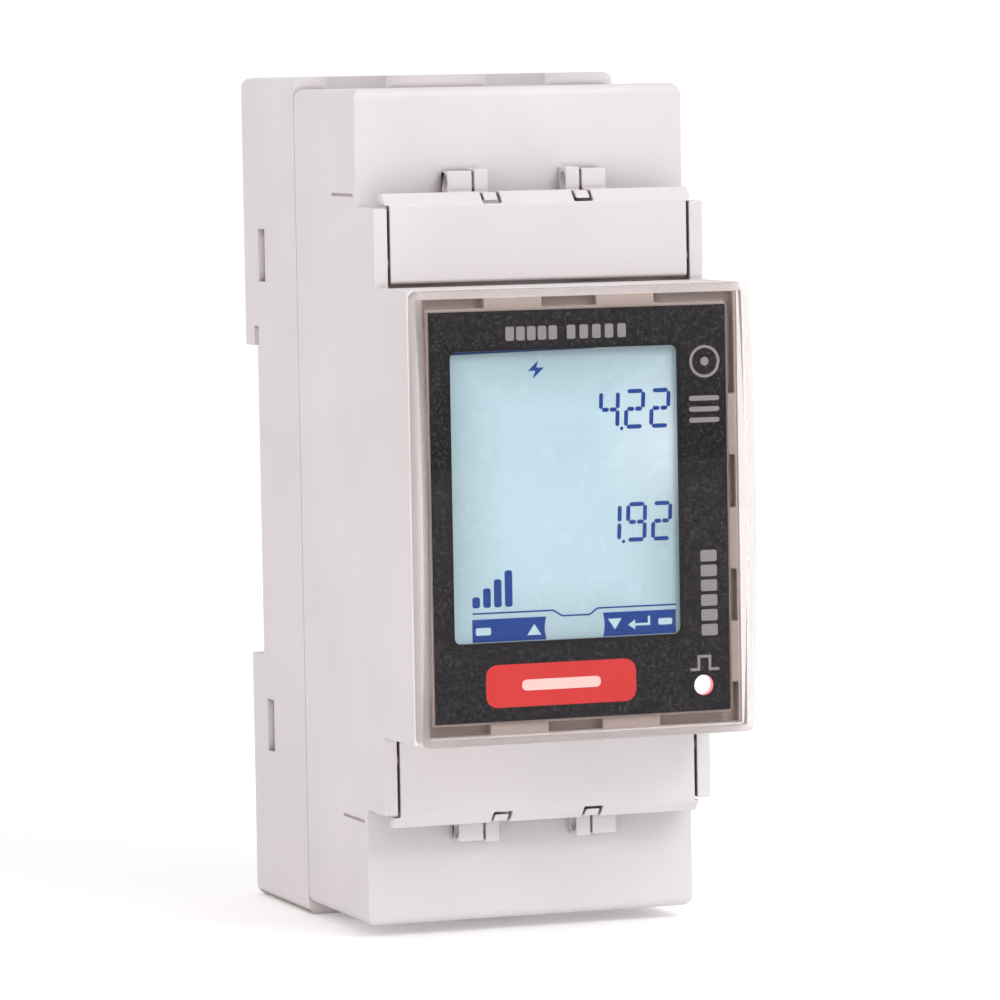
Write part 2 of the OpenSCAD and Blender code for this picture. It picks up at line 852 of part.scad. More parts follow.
module slotted_screw(big_r, head_len, shaft_r, length, pitch, depth) {
    slot_w = big_r * 0.3;
    slot_depth = head_len * 0.5;
    difference() {
        rotate([-90, 0, 0]) rotate_extrude()
            polygon(screw_section(big_r, head_len, shaft_r, length, pitch, depth));
        span([-big_r * 0.85, -cut, -slot_w / 2], [big_r * 0.85, slot_depth, slot_w / 2]);
        span([-slot_w / 2, -cut, -big_r * 0.5], [slot_w / 2, slot_depth, big_r * 0.5]);
    }
}

module terminal_screw(x, side) {
    color(steel_tone) translate([x, head_front, side * screw_z])
        slotted_screw(head_r, head_t, screw_r, bar_front - 0.1 - head_front, thread_pitch, thread_depth);
}

// --------------------------------------------------------------- signal terminals

signal_block_front = deck_back + 0.3;
signal_block_back = -17;
signal_chamber_front = -31.8;
signal_chamber_back = -22.3;
contact_front = -27.4;
contact_t = 0.6;
contact_half_w = 1;
contact_fit = 0.05;
tail_half_w = 0.4;
signal_head_front = -34.4;

module signal_block() {
    slot_half = contact_half_w + contact_fit;
    color([0.25, 0.45, 0.35]) on_side(lower) difference() {
        span([signal_mid - signal_block_w / 2, signal_block_front, cage_z0 + 0.1],
             [signal_mid + signal_block_w / 2, signal_block_back, signal_block_end]);
        for (x = signal_xs) {
            bar_y(signal_access_r, x, screw_z, signal_block_front - cut, signal_chamber_front + cut);
            span([x - signal_chamber_half, signal_chamber_front, signal_clamp_z0 - 0.3],
                 [x + signal_chamber_half, signal_chamber_back, signal_clamp_z1 + 0.3]);
            bar_z(signal_wire_r, x, signal_wire_y, signal_clamp_z1, signal_block_end + cut);
            span([x - slot_half, contact_front - contact_fit, cage_z0 - cut],
                 [x + slot_half, contact_front + contact_t + contact_fit, signal_clamp_z1]);
        }
    }
}

// Contact plates with tails soldered to the two faces of the main board
module signal_contacts() {
    tail_start = board_half_h - 2.3;
    back = contact_front + contact_t;
    color(copper_tone) on_side(lower) {
        for (x = signal_xs) {
            span([x - contact_half_w, contact_front, cage_z0 - 0.5],
                 [x + contact_half_w, back, signal_clamp_z1]);
            span([x - tail_half_w, contact_front, tail_start], [x + tail_half_w, back, cage_z0 - 0.4]);
        }
        span([signal_xs[0] - tail_half_w, contact_front, tail_start], [board_x0, back, tail_start + 1]);
        span([board_x1, contact_front, tail_start], [signal_xs[1] + tail_half_w, back, tail_start + 1]);
    }
}

module signal_clamp(x) {
    front = -29.6;
    front_t = 1.2;
    back = -22.6;
    back_t = 0.8;
    inner_half = signal_clamp_half - 0.25;
    color(steel_tone) on_side(lower) difference() {
        span([x - signal_clamp_half, front, signal_clamp_z0], [x + signal_clamp_half, back, signal_clamp_z1]);
        span([x - inner_half, front + front_t, signal_clamp_z0 - cut],
             [x + inner_half, back - back_t, signal_clamp_z1 + cut]);
        bar_y(signal_screw_r + 0.06, x, screw_z, front - cut, front + front_t + cut);
    }
}

module signal_screw(x) {
    head_len = 2.2;
    pitch = 0.4;
    depth = 0.12;
    color(steel_tone) translate([x, signal_head_front, -screw_z])
        slotted_screw(signal_head_r, head_len, signal_screw_r,
                      contact_front - 0.1 - signal_head_front, pitch, depth);
}

// --------------------------------------------------------------- rail latch

module rail_latch() {
    lip_chamfer = 1.2;
    tool_slot_w = 5;
    tool_slot_h = 1.5;
    color([0.80, 0.78, 0.77]) difference() {
        union() {
            span([-latch_w / 2, latch_front, latch_bottom], [latch_w / 2, latch_back, latch_top]);
            span([-latch_w / 2 - ear_w + latch_gap, latch_front, ear_bottom],
                 [latch_w / 2 + ear_w - latch_gap, undercut_back - 0.3, ear_top]);
        }
        span([-latch_window_w / 2, latch_front - cut, latch_window_bottom],
             [latch_window_w / 2, latch_back + cut, latch_window_top]);
        span([-latch_w, latch_front - cut, channel_bottom - 0.1], [latch_w, hook_slot_back, latch_top + cut]);
        translate([0, latch_back, latch_top]) rotate([45, 0, 0])
            cube([2 * latch_w, lip_chamfer, lip_chamfer * 2], center = true);
        span([-tool_slot_w / 2, latch_front - cut, latch_bottom + tool_slot_w / 2],
             [tool_slot_w / 2, latch_back + cut, latch_bottom + tool_slot_w / 2 + tool_slot_h]);
    }
}

// Points of a coil spring's wire: rings of wire_sides points along the helix
wire_sides = 8;
steps_per_turn = 18;

function coil_point(step, corner, length) =
    let (turn = 360 * step / steps_per_turn, around = 360 * corner / wire_sides,
         reach = spring_r + spring_wire_r * cos(around),
         rise = spring_wire_r + (length - 2 * spring_wire_r) * step / (spring_turns * steps_per_turn))
    [reach * cos(turn), reach * sin(turn), rise + spring_wire_r * sin(around)];

module latch_spring() {
    steps = spring_turns * steps_per_turn;
    length = latch_window_top - spring_seat_top;
    points = [for (step = [0 : steps], corner = [0 : wire_sides - 1]) coil_point(step, corner, length)];
    sides = [for (step = [0 : steps - 1], corner = [0 : wire_sides - 1])
        let (next = (corner + 1) % wire_sides, ring = step * wire_sides)
        [ring + corner, ring + next, ring + wire_sides + next, ring + wire_sides + corner]];
    first_cap = [[for (corner = [wire_sides - 1 : -1 : 0]) corner]];
    last_cap = [[for (corner = [0 : wire_sides - 1]) steps * wire_sides + corner]];
    color(steel_tone) translate([0, spring_y, spring_seat_top])
        polyhedron(points, concat(first_cap, sides, last_cap));
}

// --------------------------------------------------------------- assembly

rear_base();
front_housing();
terminal_cover(upper);  // upper_cover
terminal_cover(lower);  // lower_cover
front_window();
label_panel();
touch_foil();
lcd_glass();
backlight_plate();
display_frame();
contact_strips();
display_board();
display_driver();
pulse_led();
light_pipe();
board_header();
main_board();
board_chips();
film_capacitor();
storage_capacitor();
surge_disc();
mains_choke();
line_bar(upper);  // line_bar_upper
line_bar(lower);  // line_bar_lower
current_shunt();
neutral_bar();
sense_pins();
terminal_cage(line_x, upper);  // cage_upper_left
terminal_cage(neutral_x, upper);  // cage_upper_right
terminal_cage(line_x, lower);  // cage_lower_left
terminal_cage(neutral_x, lower);  // cage_lower_right
terminal_screw(line_x, upper);  // screw_upper_left
terminal_screw(neutral_x, upper);  // screw_upper_right
terminal_screw(line_x, lower);  // screw_lower_left
terminal_screw(neutral_x, lower);  // screw_lower_right
signal_block();
signal_contacts();
signal_clamp(signal_xs[0]);  // signal_clamp_left
signal_clamp(signal_xs[1]);  // signal_clamp_right
signal_screw(signal_xs[0]);  // signal_screw_left
signal_screw(signal_xs[1]);  // signal_screw_right
rail_latch();
latch_spring();
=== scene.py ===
"""Looks of a two-module smart electric meter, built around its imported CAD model.

Lengths are written in millimetres and turned into metres with MM, except in the studio, which is
written in metres. The front faces -Y. Drawings on the front are given as (x, z), seen from the
front, with the origin in the middle of the meter.
"""

import json
import math

import bmesh
import bpy
from mathutils import Matrix, Vector


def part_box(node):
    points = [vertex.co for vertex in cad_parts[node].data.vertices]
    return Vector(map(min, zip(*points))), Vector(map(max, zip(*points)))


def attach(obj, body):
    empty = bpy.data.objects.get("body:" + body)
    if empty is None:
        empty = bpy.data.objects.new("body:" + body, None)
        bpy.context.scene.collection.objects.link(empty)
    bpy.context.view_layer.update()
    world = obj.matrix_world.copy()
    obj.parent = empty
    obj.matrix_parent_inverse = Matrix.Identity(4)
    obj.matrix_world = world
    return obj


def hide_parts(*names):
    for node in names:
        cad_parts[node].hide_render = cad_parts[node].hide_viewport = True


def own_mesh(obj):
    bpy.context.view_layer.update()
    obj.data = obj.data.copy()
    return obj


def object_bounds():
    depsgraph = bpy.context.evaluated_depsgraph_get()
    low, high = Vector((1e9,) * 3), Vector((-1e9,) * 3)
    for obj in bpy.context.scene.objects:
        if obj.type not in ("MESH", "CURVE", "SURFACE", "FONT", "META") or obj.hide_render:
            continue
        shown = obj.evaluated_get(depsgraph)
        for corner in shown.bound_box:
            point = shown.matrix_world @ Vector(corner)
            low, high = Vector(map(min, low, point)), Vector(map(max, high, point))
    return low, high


MM = 0.001

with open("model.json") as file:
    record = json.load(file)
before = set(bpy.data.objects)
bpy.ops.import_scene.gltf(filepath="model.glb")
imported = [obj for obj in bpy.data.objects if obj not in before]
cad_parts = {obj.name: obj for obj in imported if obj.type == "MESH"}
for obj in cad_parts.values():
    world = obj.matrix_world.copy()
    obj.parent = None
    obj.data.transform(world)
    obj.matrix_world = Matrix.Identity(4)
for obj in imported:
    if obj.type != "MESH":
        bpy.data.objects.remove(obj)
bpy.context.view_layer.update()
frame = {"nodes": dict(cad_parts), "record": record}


# ------------------------------------------------------------------ camera

CAMERA_AIM = Vector((-0.4, -34.8, -1.1)) * MM
CAMERA_DISTANCE = 616 * MM
CAMERA_AZIMUTH = math.radians(-19.5)
CAMERA_ELEVATION = math.radians(4.2)
CAMERA_ROLL = math.radians(-1.0)
CAMERA_LENS = 215.7
CAMERA_SENSOR = 36
CAMERA_SHIFT = (-0.022, 0.014)
CAMERA_SEES_FROM = 20 * MM
CAMERA_SEES_TO = 20000 * MM


def make_camera():
    """A long lens in front of the meter, a little to its left and above it."""
    data = bpy.data.cameras.new("camera")
    data.lens = CAMERA_LENS
    data.sensor_width = CAMERA_SENSOR
    data.shift_x, data.shift_y = CAMERA_SHIFT
    data.clip_start = CAMERA_SEES_FROM
    data.clip_end = CAMERA_SEES_TO
    back = Vector((
        math.sin(CAMERA_AZIMUTH) * math.cos(CAMERA_ELEVATION),
        -math.cos(CAMERA_AZIMUTH) * math.cos(CAMERA_ELEVATION),
        math.sin(CAMERA_ELEVATION),
    ))
    level_right = Vector((0, 0, 1)).cross(back).normalized()
    level_up = back.cross(level_right)
    right = math.cos(CAMERA_ROLL) * level_right + math.sin(CAMERA_ROLL) * level_up
    up = back.cross(right)
    camera = bpy.data.objects.new("camera", data)
    bpy.context.scene.collection.objects.link(camera)
    turn = Matrix((right, up, back)).transposed().to_4x4()
    camera.matrix_world = Matrix.Translation(CAMERA_AIM + back * CAMERA_DISTANCE) @ turn
    bpy.context.scene.camera = camera


# --------------------------------------------------------- material helpers


def tone(red, green, blue):
    """Linear colour from the usual 0 to 255 screen values."""
    def linear(value):
        share = value / 255
        return share / 12.92 if share <= 0.04045 else ((share + 0.055) / 1.055) ** 2.4
    return (linear(red), linear(green), linear(blue), 1)


def scaled(colour, factor):
    """The same colour, lighter or darker."""
    return tuple(min(1, part * factor) for part in colour[:3]) + (1,)


class Look:
    """A node material under construction, with short ways to add and join nodes."""

    def __init__(self, name):
        self.material = bpy.data.materials.new(name)
        self.material.use_nodes = True
        self.tree = self.material.node_tree
        self.shader = self.tree.nodes["Principled BSDF"]
        self.place = self.node("ShaderNodeTexCoord").outputs["Object"]

    def node(self, kind, values=None, **settings):
        made = self.tree.nodes.new(kind)
        for key, value in settings.items():
            setattr(made, key, value)
        for key, value in (values or {}).items():
            made.inputs[key].default_value = value
        return made

    def join(self, output, target):
        self.tree.links.new(output, target)

    def noise(self, size, detail=3, stretch=(1, 1, 1)):
        """Cloudy pattern whose patches are about the given size in millimetres."""
        mapping = self.node("ShaderNodeMapping", {"Scale": stretch})
        self.join(self.place, mapping.inputs["Vector"])
        made = self.node("ShaderNodeTexNoise", {"Scale": 1 / (size * MM), "Detail": detail})
        self.join(mapping.outputs["Vector"], made.inputs["Vector"])
        return made.outputs["Fac"]

    def spread(self, value, low, high, start=0.3, end=0.7):
        """Turns the middle of a pattern's range into values from low to high."""
        made = self.node("ShaderNodeMapRange", {
            "From Min": start, "From Max": end, "To Min": low, "To Max": high})
        self.join(value, made.inputs["Value"])
        return made.outputs["Result"]

    def blend(self, factor, first, second):
        """Mixes two colours, each a fixed colour or another node's output."""
        made = self.node("ShaderNodeMix", data_type="RGBA")
        self.join(factor, made.inputs["Factor"])
        for source, socket in ((first, made.inputs[6]), (second, made.inputs[7])):
            if isinstance(source, tuple):
                socket.default_value = source
            else:
                self.join(source, socket)
        return made.outputs[2]

    def bump(self, height, depth, strength=0.6, edge=0.0):
        """Relief of the given depth in millimetres, over edges rounded by a small radius."""
        made = self.node("ShaderNodeBump", {"Strength": strength, "Distance": depth * MM})
        self.join(height, made.inputs["Height"])
        if edge:
            soft = self.node("ShaderNodeBevel", {"Radius": edge * MM}, samples=6)
            self.join(soft.outputs["Normal"], made.inputs["Normal"])
        self.join(made.outputs["Normal"], self.shader.inputs["Normal"])

    def painted_crevice_shade(self, colour, dark, reach):
        """Painted shade: darkens a colour in gaps, slots and inner corners within reach, in millimetres.
        """
        open_share = self.node("ShaderNodeAmbientOcclusion", {"Distance": reach * MM}, samples=8)
        shade = self.spread(open_share.outputs["AO"], 1, 0, 0.25, 0.8)
        return self.blend(shade, colour, dark)

    def box_mask(self, half_x, half_z, middle, fade):
        """0 inside a rectangle on the front, rising to 1 at fade outside it; all in metres."""
        shift = self.node("ShaderNodeVectorMath", operation="SUBTRACT")
        shift.inputs[1].default_value = middle
        self.join(self.place, shift.inputs[0])
        folded = self.node("ShaderNodeVectorMath", operation="ABSOLUTE")
        self.join(shift.outputs["Vector"], folded.inputs[0])
        beyond = self.node("ShaderNodeVectorMath", operation="SUBTRACT")
        beyond.inputs[1].default_value = (half_x, 0, half_z)
        self.join(folded.outputs["Vector"], beyond.inputs[0])
        axes = self.node("ShaderNodeSeparateXYZ")
        self.join(beyond.outputs["Vector"], axes.inputs["Vector"])
        furthest = self.node("ShaderNodeMath", operation="MAXIMUM")
        self.join(axes.outputs["X"], furthest.inputs[0])
        self.join(axes.outputs["Z"], furthest.inputs[1])
        return self.spread(furthest.outputs["Value"], 0, 1, 0, fade)

    def away_from(self, x, z, start, end):
        """0 within start of a point on the front, rising to 1 at end; all in metres."""
        shift = self.node("ShaderNodeVectorMath", operation="SUBTRACT")
        shift.inputs[1].default_value = (x, 0, z)
        self.join(self.place, shift.inputs[0])
        flat = self.node("ShaderNodeVectorMath", operation="MULTIPLY")
        flat.inputs[1].default_value = (1, 0, 1)
        self.join(shift.outputs["Vector"], flat.inputs[0])
        reach = self.node("ShaderNodeVectorMath", operation="LENGTH")
        self.join(flat.outputs["Vector"], reach.inputs[0])
        return self.spread(reach.outputs["Value"], 0, 1, start, end)

    def lets_lamps_through(self):
        """Light from the lamps passes straight through a clear piece."""
        clear = self.node("ShaderNodeBsdfTransparent")
        mix = self.node("ShaderNodeMixShader")
        path = self.node("ShaderNodeLightPath")
        self.join(path.outputs["Is Shadow Ray"], mix.inputs["Fac"])
        self.join(self.shader.outputs["BSDF"], mix.inputs[1])
        self.join(clear.outputs["BSDF"], mix.inputs[2])
        self.join(mix.outputs["Shader"], self.tree.nodes["Material Output"].inputs["Surface"])


def moulded(name, colour, rough=0.42, drift=0.03, grain=0.12, depth=0.006, edge=0.0, shine=0.5):
    """Moulded plastic: slow colour drift, fine satin grain and faint scuffs."""
    patch_size, scuff_size, dull_patch_size = 14, 2.2, 5
    scuff_share, scuff_lightness = 0.35, 1.06
    gloss_change, dull_patch = 0.05, 0.08
    look = Look(name)
    look.shader.inputs["Specular IOR Level"].default_value = shine
    patches = look.spread(look.noise(patch_size), 0, 1)
    body = look.blend(patches, scaled(colour, 1 - drift), scaled(colour, 1 + drift))
    scuffs = look.spread(look.noise(scuff_size, 6, (1, 1, 5)), 0, scuff_share, 0.62, 0.78)
    surface = look.blend(scuffs, body, scaled(colour, scuff_lightness))
    look.join(surface, look.shader.inputs["Base Color"])
    fine = look.noise(grain, 2)
    gloss = look.node("ShaderNodeMath", operation="ADD")
    look.join(look.spread(fine, rough - gloss_change, rough + gloss_change), gloss.inputs[0])
    look.join(look.spread(look.noise(dull_patch_size), 0, dull_patch), gloss.inputs[1])
    look.join(gloss.outputs["Value"], look.shader.inputs["Roughness"])
    look.bump(fine, depth, edge=edge)
    return look


def metal(name, colour, rough=0.28, stretch=(1, 8, 1)):
    """Worked metal: drawing lines, duller patches where it has aged."""
    line_size, line_depth, patch_size = 0.3, 0.01, 3
    dull, smoother, rougher = 0.8, 0.08, 0.12
    look = Look(name)
    look.shader.inputs["Metallic"].default_value = 1
    lines = look.noise(line_size, 4, stretch)
    patches = look.spread(look.noise(patch_size), 0, 1, 0.4, 0.65)
    look.join(look.blend(patches, scaled(colour, dull), colour), look.shader.inputs["Base Color"])
    look.join(look.spread(lines, rough - smoother, rough + rougher),
              look.shader.inputs["Roughness"])
    look.bump(lines, line_depth)
    return look


CLEAR_ROUGH = 0.03


def clear(name, colour, ior):
    """Clear moulded plastic with faint flow marks."""
    patch_size, patch_dull = 4, 0.04
    flow_mark_size, flow_mark_depth = 9, 0.004
    look = Look(name)
    look.shader.inputs["Specular IOR Level"].default_value = 0.1
    look.shader.inputs["Base Color"].default_value = colour
    look.shader.inputs["Transmission Weight"].default_value = 1
    look.shader.inputs["IOR"].default_value = ior
    look.join(look.spread(look.noise(patch_size), CLEAR_ROUGH, CLEAR_ROUGH + patch_dull),
              look.shader.inputs["Roughness"])
    look.bump(look.noise(flow_mark_size, 1), flow_mark_depth, 0.15)
    look.lets_lamps_through()
    return look


# ---------------------------------------------------------------- materials

EDGE_RADIUS = 0.12
WINDOW_WALL = 0.8
DISPLAY_HALF_W = 12.1
DISPLAY_HALF_H = 14.6

HOUSING_GREY = tone(226, 221, 222)
LATCH_GREY = tone(206, 202, 200)
# Brown of the painted shade in gaps, slots and behind the window's pane
PAINTED_SHADE_BROWN = tone(150, 134, 127)
PANEL_BLACK = tone(14, 12, 17)
PANEL_FLECK = tone(92, 88, 95)
# Painted shade where the panel's edge round the display lies in shadow
PAINTED_RING_SHADE = tone(8, 7, 9)
LCD_BLUE = tone(170, 198, 209)
# Colour of the painted glare, also used for the faint clouds
LCD_GLARE = tone(193, 211, 220)
SEGMENT_BLUE = tone(0, 62, 146)
LAMP_WHITE = tone(255, 248, 248)
LAMP_PINK = tone(236, 110, 120)
LCD_GLOW = 0.32
LAMP_GLOW = 0.6


def window_walls(look, fade):
    """0 on the window's pane, 1 on its side walls and outside them. The fade is in millimetres."""
    low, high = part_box("front_window")
    half = (high - low) / 2
    return look.box_mask(half.x - WINDOW_WALL * MM, half.z - WINDOW_WALL * MM,
                         (low + high) / 2, fade * MM)


def housing_look(name, colour, rough):
    """Pale moulded plastic, with painted brown shade in gaps and slots and a painted shade band behind
    the window's clear cap.
    """
    crevice_shade_reach, band_shade_share = 1.1, 0.85
    # The window's shade ends between these two depths behind its back plane
    shade_to, shade_gone = 1.6, 1.8
    look = moulded(name, colour, rough=rough, edge=EDGE_RADIUS)
    base = look.shader.inputs["Base Color"].links[0].from_socket
    # Painted shade: brown darkening in the housing's gaps, slots and inner corners
    shaded = look.painted_crevice_shade(base, PAINTED_SHADE_BROWN, crevice_shade_reach)
    beyond = window_walls(look, 0.05)
    window_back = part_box("front_window")[1].y
    axes = look.node("ShaderNodeSeparateXYZ")
    look.join(look.place, axes.inputs["Vector"])
    in_front = look.spread(axes.outputs["Y"], 1, 0,
                           window_back + shade_to * MM, window_back + shade_gone * MM)
    under_wall = look.node("ShaderNodeMath", operation="MULTIPLY")
    look.join(beyond, under_wall.inputs[0])
    look.join(in_front, under_wall.inputs[1])
    behind_pane = look.node("ShaderNodeMath", operation="SUBTRACT")
    look.join(in_front, behind_pane.inputs[0])
    look.join(under_wall.outputs["Value"], behind_pane.inputs[1])
    walled = look.blend(under_wall.outputs["Value"], shaded, base)
    # Painted shade: a brown band on the housing under the window's pane, where the cap shades it
    band_shade = look.spread(behind_pane.outputs["Value"], 0, band_shade_share, 0, 1)
    look.join(look.blend(band_shade, walled, PAINTED_SHADE_BROWN), look.shader.inputs["Base Color"])
    return look


def window_look():
    """Clear cap whose side walls look frosted, because light runs along inside them."""
    look = clear("window_plastic", tone(253, 250, 248), ior=1.3)
    walls = window_walls(look, 0.1)
    look.join(look.spread(walls, CLEAR_ROUGH, 1, 0, 1), look.shader.inputs["Roughness"])
    return look


def panel_look():
    """Printed charcoal foil with faint flecks, and a painted black shade ring round the display opening.
    """
    fleck_size, fleck_share, shade_ring_width = 0.3, 0.4, 0.45
    look = moulded("panel_print", PANEL_BLACK, rough=0.5, drift=0.1, grain=0.2, depth=0.01,
                   shine=0.1)
    base = look.shader.inputs["Base Color"].links[0].from_socket
    flecks = look.spread(look.noise(fleck_size, 2), 0, fleck_share, 0.5, 0.75)
    speckled = look.blend(flecks, base, PANEL_FLECK)
    low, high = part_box("touch_foil")
    middle = (low + high) / 2
    # Painted shade: a black ring round the display opening
    away = look.box_mask(DISPLAY_HALF_W * MM, DISPLAY_HALF_H * MM, middle, shade_ring_width * MM)
    look.join(look.blend(away, PAINTED_RING_SHADE, speckled), look.shader.inputs["Base Color"])
    return look


def display_look():
    """Back-lit liquid-crystal glass, pale blue, dimmer at its edges, with a painted glare, a whiter
    patch, on its right.
    """
    dim_edge, edge_lightness = 6, 0.72
    glare_above_middle, glare_from, glare_to = 5, 1, 9
    cloud_size, cloud_share, grain = 9, 0.12, 0.3
    look = Look("display_glass")
    low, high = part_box("touch_foil")
    middle = (low + high) / 2
    edge = look.box_mask((DISPLAY_HALF_W - dim_edge) * MM, (DISPLAY_HALF_H - dim_edge) * MM,
                         middle, dim_edge * MM)
    body = look.blend(edge, LCD_BLUE, scaled(LCD_BLUE, edge_lightness))
    clouds = look.spread(look.noise(cloud_size, 1), 0, cloud_share)
    clouded = look.blend(clouds, body, LCD_GLARE)
    # Painted glare: the display turns whiter towards a point on its right
    away = look.away_from(middle.x + DISPLAY_HALF_W * MM, middle.z + glare_above_middle * MM,
                          glare_from * MM, glare_to * MM)
    colour = look.blend(away, LCD_GLARE, clouded)
    look.join(colour, look.shader.inputs["Base Color"])
    look.join(colour, look.shader.inputs["Emission Color"])
    look.shader.inputs["Emission Strength"].default_value = LCD_GLOW
    look.join(look.spread(look.noise(3), 0.2, 0.3), look.shader.inputs["Roughness"])
    look.bump(look.noise(grain, 1), 0.002, 0.2)
    return look


def lamp_look():
    """Lit light pipe: white, with a pink crescent on its right."""
    white_left, white_up, white_to, pink_from = 0.35, 0.15, 0.75, 1.2
    look = Look("pulse_light")
    low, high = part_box("light_pipe")
    middle = (low + high) / 2
    ring = look.away_from(middle.x - white_left * MM, middle.z + white_up * MM,
                          white_to * MM, pink_from * MM)
    colour = look.blend(ring, LAMP_WHITE, LAMP_PINK)
    look.join(colour, look.shader.inputs["Base Color"])
    look.join(colour, look.shader.inputs["Emission Color"])
    look.shader.inputs["Emission Strength"].default_value = LAMP_GLOW
    look.join(look.spread(look.noise(0.5), 0.15, 0.3), look.shader.inputs["Roughness"])
    look.bump(look.noise(0.4), 0.01, 0.2)
    return look


def board_look():
    """Green solder mask over copper tracks."""
    track_pitch, track_share = 1.6, 0.7
    look = moulded("solder_mask", tone(28, 104, 58), rough=0.3, drift=0.12, grain=0.3)
    base = look.shader.inputs["Base Color"].links[0].from_socket
    tracks = look.node("ShaderNodeTexVoronoi", {"Scale": 1 / (track_pitch * MM)},
                       feature="DISTANCE_TO_EDGE")
    look.join(look.place, tracks.inputs["Vector"])
    lines = look.spread(tracks.outputs["Distance"], track_share, 0, 0.03, 0.06)
    look.join(look.blend(lines, base, tone(60, 140, 84)), look.shader.inputs["Base Color"])
    return look


def make_looks():
    """One material for each of the record's slots, and a few for the added pieces."""
    looks = {
        "housing": housing_look("housing_plastic", HOUSING_GREY, rough=0.45),
        "window": window_look(),
        "panel": panel_look(),
        "foil": clear("clear_film", tone(250, 252, 253), ior=1.2),
        "lcd": display_look(),
        "diffuser": moulded("light_guide", tone(232, 242, 248), rough=0.2),
        "white_plastic": moulded("white_frame", tone(236, 236, 230)),
        "contact_rubber": moulded("contact_rubber", tone(206, 92, 110), rough=0.7, grain=0.3),
        "circuit_board": board_look(),
        "black_part": moulded("black_moulding", tone(38, 38, 42), rough=0.5, drift=0.15),
        "lamp": lamp_look(),
        "lamp_chip": moulded("lamp_chip", tone(244, 240, 214), rough=0.3),
        "film_case": moulded("film_capacitor_case", tone(206, 168, 52), rough=0.3),
        "can": moulded("capacitor_sleeve", tone(44, 54, 92), rough=0.3, drift=0.1),
        "disc": moulded("dipped_disc", tone(36, 84, 166), rough=0.25, grain=0.6, depth=0.05),
        "ferrite": moulded("ferrite", tone(60, 58, 58), rough=0.6, grain=0.3, depth=0.03),
        "copper": metal("tinned_copper", tone(214, 148, 112)),
        "shunt_alloy": metal("shunt_alloy", tone(164, 146, 128), rough=0.35),
        "steel": metal("zinc_plated_steel", tone(206, 208, 212), rough=0.25, stretch=(1, 3, 1)),
        "signal_green": moulded("signal_terminal_plastic", tone(52, 112, 82)),
        "latch_plastic": housing_look("latch_plastic", LATCH_GREY, rough=0.4),
        "spring_steel": metal("drawn_spring_wire", tone(180, 182, 188), rough=0.3,
                              stretch=(1, 1, 6)),
        "red_print": moulded("red_print", tone(206, 30, 27), rough=0.35, grain=0.15),
        "grey_print": moulded("grey_print", tone(136, 132, 136), rough=0.5, grain=0.15),
        "pale_print": moulded("pale_print", tone(244, 206, 202), rough=0.45, grain=0.15),
        "segment": moulded("display_segment", SEGMENT_BLUE, rough=0.4, drift=0.08, depth=0.002,
                           shine=0.05),
        "key_mark": moulded("display_key_mark", tone(196, 224, 234), rough=0.4, depth=0.002),
    }
    return {slot: look.material for slot, look in looks.items()}


# -------------------------------------------------------------- CAD nodes

ROUNDED_NODES = ("front_housing", "upper_cover", "lower_cover", "front_window", "rail_latch")


def round_edges(piece):
    """Rounds a mesh's sharp edges without touching the mesh itself."""
    weld = piece.modifiers.new("weld", "WELD")
    weld.merge_threshold = 0.002 * MM
    flatten = piece.modifiers.new("flatten", "DECIMATE")
    flatten.decimate_type = "DISSOLVE"
    flatten.angle_limit = math.radians(0.5)
    bevel = piece.modifiers.new("bevel", "BEVEL")
    bevel.width = EDGE_RADIUS * MM
    bevel.segments = 2
    bevel.limit_method = "ANGLE"
    bevel.angle_limit = math.radians(35)
    bevel.use_clamp_overlap = False
    bevel.miter_outer = "MITER_SHARP"
    normals = piece.modifiers.new("normals", "WEIGHTED_NORMAL")
    normals.keep_sharp = True


def dress_nodes(looks):
    """Gives every CAD node its slot's material, and some of them rounded edges."""
    for part in frame["record"]["subparts"]:
        node = frame["nodes"][part["node"]]
        for slot in node.material_slots:
            slot.material = looks[part["material_slot"]]
    for name in ROUNDED_NODES:
        round_edges(frame["nodes"][name])


# ------------------------------------------------------- drawing helpers

CORNER_STEPS = 5
END_STEPS = 4
SAME_POINT = 0.001

# A closed round outline stops here, because its first point isn't repeated
LAST_ANGLE = 330


def relief(name, faces, front, back, material):
    """Thin raised piece from polygons drawn in (x, z), between two depths along Y, in metres."""
    build = bmesh.new()
    for face in faces:
        build.faces.new([build.verts.new((x * MM, front, z * MM)) for x, z in face])
    bmesh.ops.remove_doubles(build, verts=build.verts, dist=SAME_POINT * MM)
    made = bmesh.ops.extrude_face_region(build, geom=list(build.faces))
    moved = [item for item in made["geom"] if isinstance(item, bmesh.types.BMVert)]
    bmesh.ops.translate(build, verts=moved, vec=(0, back - front, 0))
    bmesh.ops.recalc_face_normals(build, faces=build.faces)
    mesh = bpy.data.meshes.new(name)
    build.to_mesh(mesh)
    build.free()
    mesh.materials.append(material)
    piece = bpy.data.objects.new(name, mesh)
    bpy.context.scene.collection.objects.link(piece)
    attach(piece, "meter")


def arc(centre, radius, start, end, steps):
    """Points on an arc, angles in degrees."""
    points = []
    for i in range(steps + 1):
        angle = math.radians(start + (end - start) * i / steps)
        points.append((centre[0] + radius * math.cos(angle), centre[1] + radius * math.sin(angle)))
    return points


def rounded_bar(left, bottom, right, top, radius):
    """Outline of a rectangle with round corners."""
    corners = (
        ((right - radius, top - radius), 0),
        ((left + radius, top - radius), 90),
        ((left + radius, bottom + radius), 180),
        ((right - radius, bottom + radius), 270),
    )
    outline = []
    for centre, start in corners:
        outline += arc(centre, radius, start, start + 90, CORNER_STEPS)
    return outline


def stroke(start, end, width):
    """Outline of a straight line with round ends."""
    angle = math.degrees(math.atan2(end[1] - start[1], end[0] - start[0]))
    return (arc(end, width / 2, angle - 90, angle + 90, END_STEPS)
            + arc(start, width / 2, angle + 90, angle + 270, END_STEPS))


